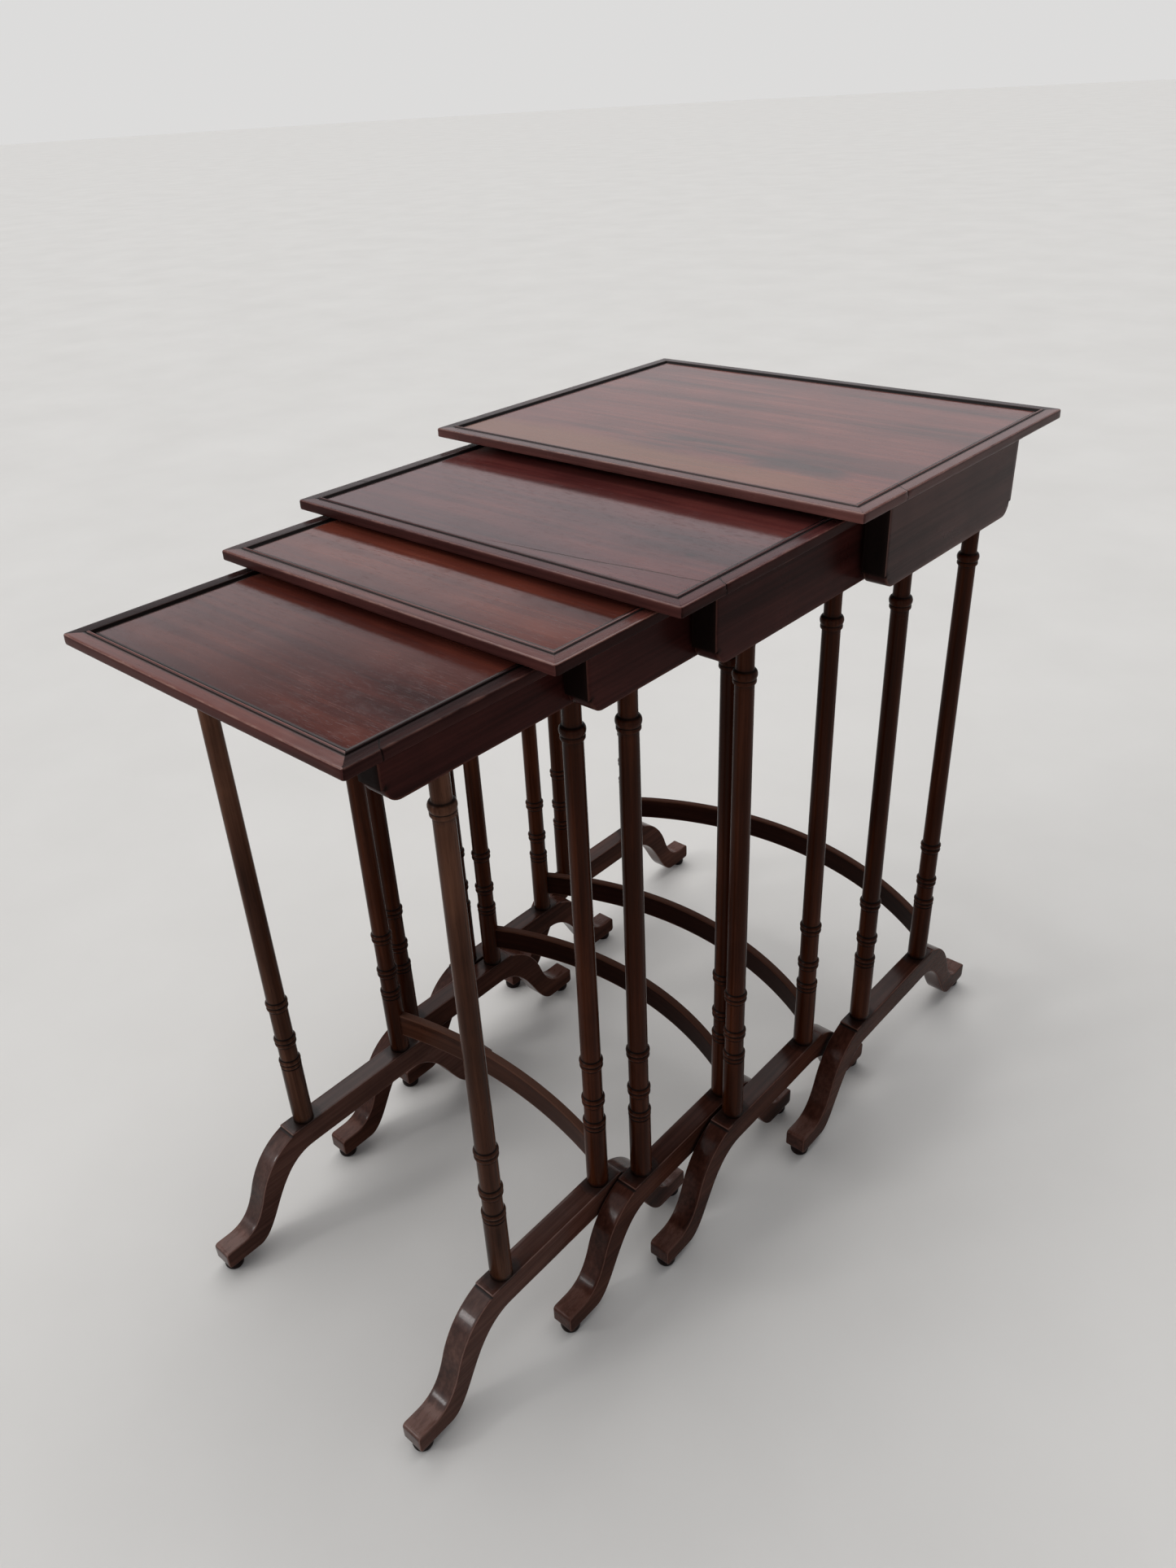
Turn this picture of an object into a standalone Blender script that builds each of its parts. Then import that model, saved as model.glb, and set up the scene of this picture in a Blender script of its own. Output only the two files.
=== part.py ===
"""Nest of four mahogany tables, each sliding forward out of the next larger one.

Metres, +Z up, floor at z = 0. -Y is the front, the way the tables pull out.
The largest table is table_1. The model stands half pulled out, and its origin
is the middle of its footprint.
"""

import math

import bmesh
import bpy

# ----- Driving dimensions -------------------------------------------------
GAP = 0.0003                 # glue line between two pieces that touch

# One value per table, largest first
TOP_WIDTHS = (0.481, 0.428, 0.378, 0.330)
TOP_DEPTHS = (0.370, 0.354, 0.326, 0.308)
TOP_HEIGHTS = (0.720, 0.704, 0.693, 0.681)
PULL_OUTS = (0.0, 0.2022, 0.1146, 0.1664)
STRETCHER_BOWS = (0.068, 0.053, 0.041, 0.020)

TOP_THICKNESS = 0.0085
EDGING_WIDTH = 0.0169        # border and bead together
BORDER_WIDTH = 0.0130
BEAD_HEIGHT = 0.0010
FIELD_SINK = 0.0009          # the field lies this far below the border
PLAN_RADIUS = 0.0030         # rounding of the top's corners in plan
ARRIS = 0.0014

LEG_SPACING = 0.1306         # front leg to rear leg
LEG_INSET = 0.0225           # leg axis to the top's side edge
LEG_RADIUS = 0.0104
NECK_RADIUS = 0.0076
RING_LIPS = (0.1987, 0.2273, 0.2727)     # heights of the three turned rings
COLLAR = 0.5965              # height where the collar under the apron starts
LEG_SEGMENTS = 10

APRON_THICKNESS = 0.022
APRON_BOTTOM = 0.633
APRON_OVERHANG = 0.056       # apron end beyond the leg axis
OVOLO_HEIGHT = 0.0125
OVOLO_STEP = 0.0035
RABBET_CLEARANCE = 0.001

RAIL_TOP = 0.1165
RAIL_BOTTOM = 0.088
TRESTLE_WIDTH = 0.022
STEP_OUT = 0.022             # the knee's step, beyond the leg axis
STEP_DROP = 0.0022
TOE_END = 0.121
TOE_TOP = 0.030
TOE_BOTTOM = 0.0095
NOSE_RADIUS = 0.0042

PAD_RADIUS = 0.0095
PAD_OUT = 0.110              # pad centre beyond the leg axis
PAD_SEGMENTS = 12

STRETCHER_BOTTOM = 0.140
STRETCHER_HEIGHT = 0.028
STRETCHER_THICKNESS = 0.008
STRETCHER_STEPS = 16

TENON_RADIUS = 0.0055
TENON_LENGTH = 0.014

CURVE_STEPS = 5              # pieces of each curve of a trestle's outline
ARC_STEPS = 3                # pieces of a quarter round

SIDES = (("left", -1), ("right", 1))
ENDS = (("front", -1), ("rear", 1))

# Colour and roughness of each kind of piece
FINISHES = {
    "top": ((0.150, 0.062, 0.045), 0.22),
    "edging": ((0.170, 0.070, 0.050), 0.28),
    "apron": ((0.055, 0.020, 0.016), 0.30),
    "leg": ((0.060, 0.022, 0.016), 0.28),
    "trestle": ((0.075, 0.028, 0.020), 0.34),
    "stretcher": ((0.030, 0.010, 0.009), 0.36),
    "pad": ((0.022, 0.010, 0.008), 0.45),
}


# ----- Scene and mesh helpers ----------------------------------------------
def clear_scene():
    for old in list(bpy.data.objects):
        bpy.data.objects.remove(old)


def make_materials():
    materials = {}
    for kind, (colour, roughness) in FINISHES.items():
        material = bpy.data.materials.new(kind + "_mahogany")
        material.use_nodes = True
        shader = material.node_tree.nodes["Principled BSDF"]
        shader.inputs["Base Color"].default_value = (*colour, 1.0)
        shader.inputs["Roughness"].default_value = roughness
        shader.inputs["Metallic"].default_value = 0.0
        materials[kind] = material
    return materials


def close_mesh(bm, name, turned=False):
    """Face a bmesh outwards and turn it into a mesh."""
    bmesh.ops.recalc_face_normals(bm, faces=bm.faces)
    mesh = bpy.data.meshes.new(name)
    bm.to_mesh(mesh)
    bm.free()
    if turned:
        mesh.shade_smooth()
        mesh.set_sharp_from_angle(angle=math.radians(50))
    return mesh


def place(name, mesh, material, parent, location):
    piece = bpy.data.objects.new(name, mesh)
    bpy.context.collection.objects.link(piece)
    if not mesh.materials:
        mesh.materials.append(material)
    piece.parent = parent
    piece.location = location
    return piece


def quarter_arc(centre, radius, start_degrees, turn_degrees, steps=ARC_STEPS):
    """Points of an arc in a plane, ends included."""
    points = []
    for k in range(steps + 1):
        angle = math.radians(start_degrees + turn_degrees * k / steps)
        points.append((centre[0] + radius * math.cos(angle), centre[1] + radius * math.sin(angle)))
    return points


def bezier(p0, p1, p2, p3, steps=CURVE_STEPS):
    """Points of a cubic Bezier curve in a plane, without its first point."""
    points = []
    for k in range(1, steps + 1):
        t = k / steps
        w0, w1, w2, w3 = (1 - t) ** 3, 3 * t * (1 - t) ** 2, 3 * t * t * (1 - t), t ** 3
        points.append(tuple(w0 * a + w1 * b + w2 * c + w3 * d for a, b, c, d in zip(p0, p1, p2, p3)))
    return points


def extrude_outline(outline, width, name):
    """A slab of the (y, z) outline, centred on x = 0."""
    bm = bmesh.new()
    verts = [bm.verts.new((-width / 2, y, z)) for y, z in outline]
    face = bm.faces.new(verts)
    extruded = bmesh.ops.extrude_face_region(bm, geom=[face])["geom"]
    moved = [item for item in extruded if isinstance(item, bmesh.types.BMVert)]
    bmesh.ops.translate(bm, verts=moved, vec=(width, 0, 0))
    return close_mesh(bm, name)


def turn_profile(profile, segments, name):
    """A turned solid from (radius, z) points; the first and last lie on the axis."""
    bm = bmesh.new()
    verts = [bm.verts.new((radius, 0, z)) for radius, z in profile]
    edges = [bm.edges.new(pair) for pair in zip(verts, verts[1:])]
    bmesh.ops.spin(bm, geom=verts + edges, cent=(0, 0, 0), axis=(0, 0, 1), angle=math.tau, steps=segments)
    bmesh.ops.remove_doubles(bm, verts=bm.verts, dist=1e-6)
    return close_mesh(bm, name, turned=True)


def make_box(low, high, name):
    bm = bmesh.new()
    bmesh.ops.create_cube(bm, size=1.0)
    for vert in bm.verts:
        for axis in range(3):
            vert.co[axis] = high[axis] if vert.co[axis] > 0 else low[axis]
    return close_mesh(bm, name)


def cut(mesh, cutters):
    """Subtract the cutter meshes, each given with its place, from a mesh."""
    body = bpy.data.objects.new("body", mesh)
    bpy.context.collection.objects.link(body)
    tools = []
    for cutter_mesh, location in cutters:
        tool = bpy.data.objects.new("cutter", cutter_mesh)
        bpy.context.collection.objects.link(tool)
        tool.location = location
        tool.hide_render = True
        tool.display_type = 'WIRE'
        tools.append(tool)
        modifier = body.modifiers.new("cut", 'BOOLEAN')
        modifier.operation = 'DIFFERENCE'
        modifier.solver = 'EXACT'
        modifier.object = tool
    graph = bpy.context.evaluated_depsgraph_get()
    result = bpy.data.meshes.new_from_object(body.evaluated_get(graph))
    result.name = mesh.name
    for piece in tools + [body]:
        bpy.data.objects.remove(piece)
    return result


# ----- Tops -----------------------------------------------------------------
def rectangle_ring(bm, half_width, half_depth, z, radius=0.0):
    """Four corners in turn, each a list of vertices: an arc, or one sharp point."""
    ring = []
    for quadrant, (sx, sy) in enumerate(((1, 1), (-1, 1), (-1, -1), (1, -1))):
        centre = (sx * (half_width - radius), sy * (half_depth - radius))
        points = [centre]
        if radius > 0:
            points = quarter_arc(centre, radius, 90 * quadrant, 90)
        ring.append([bm.verts.new((x, y, z)) for x, y in points])
    return ring


def skin_rings(bm, ring_a, ring_b):
    """Join two rings side by side and corner by corner."""
    for corner in range(4):
        a, b = ring_a[corner], ring_b[corner]
        for k in range(max(len(a), len(b)) - 1):
            quad = (a[min(k, len(a) - 1)], a[min(k + 1, len(a) - 1)],
                    b[min(k + 1, len(b) - 1)], b[min(k, len(b) - 1)])
            bm.faces.new(list(dict.fromkeys(quad)))
        following = (corner + 1) % 4
        bm.faces.new((a[-1], ring_a[following][0], ring_b[following][0], b[-1]))


def make_top_panel(width, depth, name):
    """The field of the top, its upper surface at z = -FIELD_SINK."""
    half_width = width / 2 - EDGING_WIDTH - GAP
    half_depth = depth / 2 - EDGING_WIDTH - GAP
    chamfer = 0.0008
    bm = bmesh.new()
    rings = [
        rectangle_ring(bm, half_width, half_depth, -TOP_THICKNESS),
        rectangle_ring(bm, half_width, half_depth, -FIELD_SINK - chamfer),
        rectangle_ring(bm, half_width - chamfer, half_depth - chamfer, -FIELD_SINK),
    ]
    for ring_a, ring_b in zip(rings, rings[1:]):
        skin_rings(bm, ring_a, ring_b)
    for ring in (rings[0], rings[-1]):
        bm.faces.new([corner[0] for corner in ring])
    return close_mesh(bm, name)


def make_edging(width, depth, name):
    """The mitred frame round the field: a flat border with a raised bead inside it."""
    bead_centre = (BORDER_WIDTH + EDGING_WIDTH) / 2 + 0.0002
    bead_half = EDGING_WIDTH - bead_centre
    section = [(ARRIS / 2, -TOP_THICKNESS), (0.0, -TOP_THICKNESS + ARRIS / 2), (0.0, -ARRIS),
               (0.3 * ARRIS, -0.3 * ARRIS), (ARRIS, 0.0), (BORDER_WIDTH, 0.0),
               (BORDER_WIDTH + 0.0003, -0.0005)]
    for degrees in (180, 130, 90, 50, 0):
        angle = math.radians(degrees)
        section.append((bead_centre + bead_half * math.cos(angle), BEAD_HEIGHT * math.sin(angle)))
    section.append((EDGING_WIDTH, -TOP_THICKNESS))
    bm = bmesh.new()
    rings = []
    for inset, z in section:
        radius = max(PLAN_RADIUS - inset, 0.0)
        rings.append(rectangle_ring(bm, width / 2 - inset, depth / 2 - inset, z, radius))
    for ring_a, ring_b in zip(rings, rings[1:] + rings[:1]):
        skin_rings(bm, ring_a, ring_b)
    return close_mesh(bm, name)


# ----- Aprons -----------------------------------------------------------------
def make_apron(side, height, rabbet, name):
    """Side rail under a top. Its ends are cut to an ovolo, and rabbet holds the
    depth and the height above the bottom edge of the groove that the next
    table's top rides in, or None.
    """
    half_length = LEG_SPACING / 2 + APRON_OVERHANG
    round_start = half_length - OVOLO_STEP
    half_outline = [(half_length, height), (half_length, OVOLO_HEIGHT)]
    half_outline += quarter_arc((round_start - OVOLO_HEIGHT, OVOLO_HEIGHT), OVOLO_HEIGHT, 0, -90)
    outline = half_outline + [(-y, z) for y, z in reversed(half_outline)]
    slab = extrude_outline(outline, APRON_THICKNESS, name)
    cutters = []
    if rabbet:
        depth, floor = rabbet
        inner_face = -side * APRON_THICKNESS / 2
        near, far = sorted((inner_face + side * depth, inner_face - side * 0.005))
        low = (near, -half_length - 0.005, floor)
        high = (far, half_length + 0.005, height + 0.005)
        cutters.append((make_box(low, high, "rabbet"), (0, 0, 0)))
    for _, end in ENDS:
        cutters.append((make_mortise(), (0, end * LEG_SPACING / 2, 0)))
    return cut(slab, cutters)


def make_mortise():
    """Round hole for a leg's tenon, a little wider and deeper than the tenon."""
    reach = TENON_LENGTH + GAP
    radius = TENON_RADIUS + GAP
    profile = [(0, reach), (radius, reach), (radius, -reach), (0, -reach)]
    return turn_profile(profile, LEG_SEGMENTS, "mortise")


# ----- Legs and pads ------------------------------------------------------------
def ring_profile(lip):
    """A turned ring: a swelling, the lip and a hollow above it."""
    return [(0.0091, lip - 0.0090), (0.0102, lip - 0.0060), (LEG_RADIUS, lip), (0.0092, lip + 0.0040)]


def make_leg(name):
    """A leg from the rail to the apron, with a round tenon at each end."""
    foot = RAIL_TOP + GAP
    head = APRON_BOTTOM - GAP
    profile = [(0, foot - TENON_LENGTH), (TENON_RADIUS, foot - TENON_LENGTH), (TENON_RADIUS, foot),
               (LEG_RADIUS, foot), (LEG_RADIUS, RING_LIPS[0]), (0.0092, RING_LIPS[0] + 0.0040)]
    for lip in RING_LIPS[1:]:
        profile += ring_profile(lip)
    profile += [(0.00815, COLLAR), (0.0093, COLLAR + 0.0003), (0.0093, COLLAR + 0.0042),
                (0.0100, COLLAR + 0.0060), (0.0100, COLLAR + 0.0102), (NECK_RADIUS, COLLAR + 0.0125),
                (NECK_RADIUS, head - 0.0050), (0.0090, head), (TENON_RADIUS, head),
                (TENON_RADIUS, head + TENON_LENGTH), (0, head + TENON_LENGTH)]
    return turn_profile(profile, LEG_SEGMENTS, name)


def make_pad(name):
    """Flattened bun under a toe, its flat face on the floor."""
    height = TOE_BOTTOM - GAP
    profile = [(0, 0), (0.82 * PAD_RADIUS, 0), (PAD_RADIUS, 0.3 * height), (PAD_RADIUS, 0.7 * height),
               (0.86 * PAD_RADIUS, height), (0, height)]
    return turn_profile(profile, PAD_SEGMENTS, name)


# ----- Trestles and stretchers ----------------------------------------------------
def foot_outline():
    """Outline of half a trestle, (distance beyond the leg axis, z), top to bottom."""
    step_floor = RAIL_TOP - STEP_DROP
    waist_top = (0.0675, 0.0685)
    waist_bottom = (0.0557, 0.0400)
    outline = [(STEP_OUT, RAIL_TOP), (STEP_OUT, step_floor)]
    outline += bezier((STEP_OUT, step_floor), (0.044, 0.1075), (0.0585, 0.0905), waist_top)
    outline += bezier(waist_top, (0.0750, 0.0465), (0.0840, TOE_TOP), (0.104, TOE_TOP))
    outline += quarter_arc((TOE_END - NOSE_RADIUS, TOE_TOP - NOSE_RADIUS), NOSE_RADIUS, 90, -90)
    outline += quarter_arc((TOE_END - NOSE_RADIUS, TOE_BOTTOM + NOSE_RADIUS), NOSE_RADIUS, 0, -90)
    outline.append((0.084, TOE_BOTTOM))
    outline += bezier((0.084, TOE_BOTTOM), (0.072, 0.0100), (0.0626, 0.0278), waist_bottom)
    outline += bezier(waist_bottom, (0.0425, 0.0635), (0.028, 0.0885), (0.0, RAIL_BOTTOM))
    return outline


def make_trestle(name):
    """A rail with a sweeping foot at each end, mortised for two legs."""
    half = [(y + LEG_SPACING / 2, z) for y, z in foot_outline()]
    slab = extrude_outline(half + [(-y, z) for y, z in reversed(half)], TRESTLE_WIDTH, name)
    cutters = [(make_mortise(), (0, end * LEG_SPACING / 2, RAIL_TOP)) for _, end in ENDS]
    return cut(slab, cutters)


def make_stretcher(half_span, bow, name):
    """A rail bent to an arc, from just clear of one rear leg to the other."""
    radius = (half_span ** 2 + bow ** 2) / (2 * bow)
    clear = LEG_RADIUS + GAP
    half_angle = math.asin(half_span / radius) - 2 * math.asin(clear / (2 * radius))
    bm = bmesh.new()
    sections = []
    for k in range(STRETCHER_STEPS + 1):
        angle = half_angle * (2 * k / STRETCHER_STEPS - 1)
        section = []
        for side, z in ((-1, 0), (1, 0), (1, STRETCHER_HEIGHT), (-1, STRETCHER_HEIGHT)):
            reach = radius + side * STRETCHER_THICKNESS / 2
            section.append(bm.verts.new((reach * math.sin(angle), reach * math.cos(angle) + bow - radius, z)))
        sections.append(section)
    for a, b in zip(sections, sections[1:]):
        for k in range(4):
            bm.faces.new((a[k], a[(k + 1) % 4], b[(k + 1) % 4], b[k]))
    bm.faces.new(sections[0])
    bm.faces.new(sections[-1])
    return close_mesh(bm, name)


# ----- Assembly -----------------------------------------------------------------
def rabbet_for(index):
    """Depth and height of the groove that the next smaller table's top rides in."""
    if index + 1 == len(TOP_WIDTHS):
        return None
    inner_face = TOP_WIDTHS[index] / 2 - LEG_INSET - APRON_THICKNESS / 2
    depth = TOP_WIDTHS[index + 1] / 2 + RABBET_CLEARANCE - inner_face
    floor = TOP_HEIGHTS[index + 1] - TOP_THICKNESS - RABBET_CLEARANCE - APRON_BOTTOM
    return depth, floor


def build_table(index, centre_y, shared, materials):
    name = f"table_{index + 1}"
    width, depth, height = TOP_WIDTHS[index], TOP_DEPTHS[index], TOP_HEIGHTS[index]
    leg_x = width / 2 - LEG_INSET
    table = bpy.data.objects.new(name, None)
    bpy.context.collection.objects.link(table)
    table.location = (0, centre_y, 0)

    panel = make_top_panel(width, depth, "panel")
    place(f"{name}_top", panel, materials["top"], table, (0, 0, height))
    edging = make_edging(width, depth, "edging")
    place(f"{name}_edging", edging, materials["edging"], table, (0, 0, height))
    apron_height = height - TOP_THICKNESS - GAP - APRON_BOTTOM
    for side_name, side in SIDES:
        x = side * leg_x
        apron = make_apron(side, apron_height, rabbet_for(index), "apron")
        place(f"{name}_apron_{side_name}", apron, materials["apron"], table, (x, 0, APRON_BOTTOM))
        place(f"{name}_trestle_{side_name}", shared["trestle"], materials["trestle"], table, (x, 0, 0))
        for end_name, end in ENDS:
            leg_y = end * LEG_SPACING / 2
            pad_y = leg_y + end * PAD_OUT
            suffix = f"{end_name}_{side_name}"
            place(f"{name}_leg_{suffix}", shared["leg"], materials["leg"], table, (x, leg_y, 0))
            place(f"{name}_pad_{suffix}", shared["pad"], materials["pad"], table, (x, pad_y, 0))
    stretcher = make_stretcher(leg_x, STRETCHER_BOWS[index], "stretcher")
    place(f"{name}_stretcher", stretcher, materials["stretcher"], table,
          (0, LEG_SPACING / 2, STRETCHER_BOTTOM))


def main():
    clear_scene()
    materials = make_materials()
    shared = {"leg": make_leg("leg"), "pad": make_pad("pad"), "trestle": make_trestle("trestle")}
    centre_y = sum(PULL_OUTS) / 2
    for index, pull_out in enumerate(PULL_OUTS):
        centre_y -= pull_out
        build_table(index, centre_y, shared, materials)


main()
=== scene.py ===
"""Looks of the nest of four mahogany tables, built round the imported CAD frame."""

import math
import random

import bmesh
import bpy
import numpy as np
from mathutils import Matrix, Vector, noise
from mathutils.kdtree import KDTree


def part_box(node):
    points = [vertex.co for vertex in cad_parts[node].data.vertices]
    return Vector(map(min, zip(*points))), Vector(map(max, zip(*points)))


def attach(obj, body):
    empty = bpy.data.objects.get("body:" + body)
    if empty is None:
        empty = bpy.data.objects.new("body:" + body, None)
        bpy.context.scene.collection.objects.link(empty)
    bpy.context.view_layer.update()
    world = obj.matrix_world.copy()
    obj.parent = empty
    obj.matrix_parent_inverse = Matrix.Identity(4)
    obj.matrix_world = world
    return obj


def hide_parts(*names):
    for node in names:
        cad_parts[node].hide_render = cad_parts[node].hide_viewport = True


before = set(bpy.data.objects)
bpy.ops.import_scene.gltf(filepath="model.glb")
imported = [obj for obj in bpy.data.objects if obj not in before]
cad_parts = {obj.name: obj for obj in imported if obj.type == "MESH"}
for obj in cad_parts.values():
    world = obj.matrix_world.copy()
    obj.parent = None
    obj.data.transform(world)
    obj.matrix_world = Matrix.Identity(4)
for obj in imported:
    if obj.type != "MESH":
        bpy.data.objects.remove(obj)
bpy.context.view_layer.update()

# ----- Dimensions of the mouldings (metres) ----------------------------------
GAP = 0.0003                 # glue line between neighbouring pieces
BEAD_HEIGHT = 0.0010         # bead above the border
EDGING_WIDTH = 0.0169
BORDER_WIDTH = 0.0124        # flat part of the edging
BEAD_WIDTH = 0.0023
QUIRK_DEPTH = 0.0008         # depth of the grooves beside the bead
PLAN_RADIUS = 0.0030
RABBET_CLEARANCE = 0.0010

OVOLO_HEIGHT = 0.0125
OVOLO_STEP = 0.0035
ARRIS = 0.0007               # rounding of sawn edges

STEP_OUT = 0.022             # the knee's step, beyond the leg axis
STEP_DROP = 0.0022
TOE_TOP = 0.030
TOE_BOTTOM = 0.0095
RAIL_BOTTOM = 0.088
NOSE_RADIUS = 0.0042

LEG_RADIUS = 0.0104
SHAFT_FOOT = 0.00905         # radius of the shaft above the rings
SHAFT_HEAD = 0.00815         # and under the collar
NECK_RADIUS = 0.0076
RING_LIPS = (0.1987, 0.2273, 0.2727)
COLLAR = 0.5965
TENON_RADIUS = 0.0055
TENON_LENGTH = 0.014
LEG_SEGMENTS = 40
PAD_SEGMENTS = 36
STRETCHER_THICKNESS = 0.008

FIELD_ARRIS = 0.0006
FIELD_RIM = 0.0030           # painted shade reaches this far in from the bead
RIM_CUTS = (0.0016, 0.0035)  # extra cuts along the rim, which carry that painted shade
FIELD_GRID = (0.010, 0.010, 0)
APRON_GRID = (0.0055, 0.0055, 0.0045)
TRESTLE_GRID = (0.0037, 0.0050, 0.0045)
TRESTLE_ARRIS = 0.0011
STRETCHER_ARRIS = 0.0011
STRETCHER_LET_IN = 0.0012    # how far its ends run into the legs
STRIP_STEP = 0.007           # length of the faces along an edging strip
JOINT_STEP = 0.0015          # length of the last face before a joint
CUTTER_SPARE = 0.005         # how far a cutter stands out of what it cuts

KNOCK_REACH = 0.003          # knocks move what is this near the face of a strip,
KNOCK_DEPTH = 0.00016        # small ones by up to twice this
DENT_DEPTH = 0.0011
JOINT_NICK = 0.0007          # and the top arris is broken at a joint
LEG_SHADE_REACH = 0.0125          # painted shade on the rail, from a leg's axis
MOST_LEG_SHADE = 0.62
TOE_START = 0.078            # the toe's top made lighter, by wear and painted light, beyond the leg axis
TOE_FADE = 0.016
LIGHTENED_TOE_HEIGHT = 0.0245       # and above the floor
# how much lighter the toe's top is made: partly wear, partly painted light on its upper face
TOE_WEAR_AND_LIGHT = 0.86
SIDE_LEVELS = (0.004, 0.014, 0.024)  # points between the arrises of a stretcher
FLOOR_RADIUS = 40.0

SIDES = (("left", -1), ("right", 1))
ENDS = (("front", -1), ("rear", 1))
TABLES = ("table_1", "table_2", "table_3", "table_4")
BACKDROP = (0.72, 0.715, 0.71, 1.0)

dice = random.Random(7)


# ----- Camera ------------------------------------------------------------------
def make_camera():
    azimuth, elevation, roll = (math.radians(angle) for angle in (43.37, 31.07, -3.27))
    camera = bpy.data.objects.new("camera", bpy.data.cameras.new("camera"))
    bpy.context.scene.collection.objects.link(camera)
    camera.data.lens = 27.07
    camera.data.sensor_width = 36.0
    camera.data.shift_x = 0.0089
    camera.data.shift_y = -0.0016
    turn = (Matrix.Rotation(azimuth, 4, 'Z')
            @ Matrix.Rotation(math.pi / 2 - elevation, 4, 'X')
            @ Matrix.Rotation(roll, 4, 'Z'))
    place = (0.6665, -0.7324, 1.0197)
    camera.matrix_world = Matrix.Translation(place) @ turn
    bpy.context.scene.camera = camera


make_camera()


# ----- Material graphs -----------------------------------------------------------
def set_stops(ramp, stops):
    """Give a colour ramp node its (position, colour) stops, in rising order."""
    elements = ramp.color_ramp.elements
    while len(elements) < len(stops):
        elements.new(0.5)
    for element, (position, colour) in zip(elements, stops):
        element.position = position
        element.color = (*colour, 1.0)


class Graph:
    """Adds and joins the nodes of one material."""

    def __init__(self, name):
        self.material = bpy.data.materials.new(name)
        self.material.use_nodes = True
        self.tree = self.material.node_tree
        self.shader = self.tree.nodes["Principled BSDF"]

    def node(self, kind, inputs=(), **settings):
        made = self.tree.nodes.new("ShaderNode" + kind)
        for key, value in settings.items():
            setattr(made, key, value)
        for key, value in dict(inputs).items():
            self.put(made.inputs[key], value)
        return made

    def put(self, socket, value):
        if isinstance(value, bpy.types.NodeSocket):
            self.tree.links.new(value, socket)
        else:
            socket.default_value = value

    def attribute(self, name, output="Fac"):
        return self.node("Attribute", attribute_name=name).outputs[output]

    def stretch(self, vector, scale):
        return self.node("VectorMath", {0: vector, 1: scale}, operation='MULTIPLY').outputs[0]

    def noise(self, vector, scale=1.0, detail=3.0, roughness=0.55, distortion=0.0):
        inputs = {"Vector": vector, "Scale": scale, "Detail": detail, "Roughness": roughness,
                  "Distortion": distortion}
        return self.node("TexNoise", inputs).outputs["Fac"]

    def math(self, operation, *values, clamp=False):
        inputs = dict(enumerate(values))
        return self.node("Math", inputs, operation=operation, use_clamp=clamp).outputs[0]

    def shift(self, vector, by):
        return self.node("VectorMath", {0: vector, 1: by}, operation='ADD').outputs[0]

    def split(self, vector):
        return self.node("SeparateXYZ", {0: vector}).outputs

    def step(self, value, low, high):
        """0 below low, 1 above high, smooth between; a high under low turns it round."""
        if low < high:
            ends = {1: low, 2: high, 3: 0.0, 4: 1.0}
        else:
            ends = {1: high, 2: low, 3: 1.0, 4: 0.0}
        inputs = {0: value, **ends}
        return self.node("MapRange", inputs, interpolation_type='SMOOTHSTEP').outputs[0]

    def ramp(self, value, stops):
        made = self.node("ValToRGB", {0: value})
        set_stops(made, stops)
        return made.outputs["Color"]

    def mix(self, amount, a, b):
        made = self.node("Mix", data_type='RGBA')
        colours = [socket for socket in made.inputs if socket.type == 'RGBA']
        self.put(made.inputs[0], amount)
        for socket, value in zip(colours, (a, b)):
            if not isinstance(value, bpy.types.NodeSocket):
                value = (*value, 1.0)
            self.put(socket, value)
        return [socket for socket in made.outputs if socket.type == 'RGBA'][0]


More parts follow.
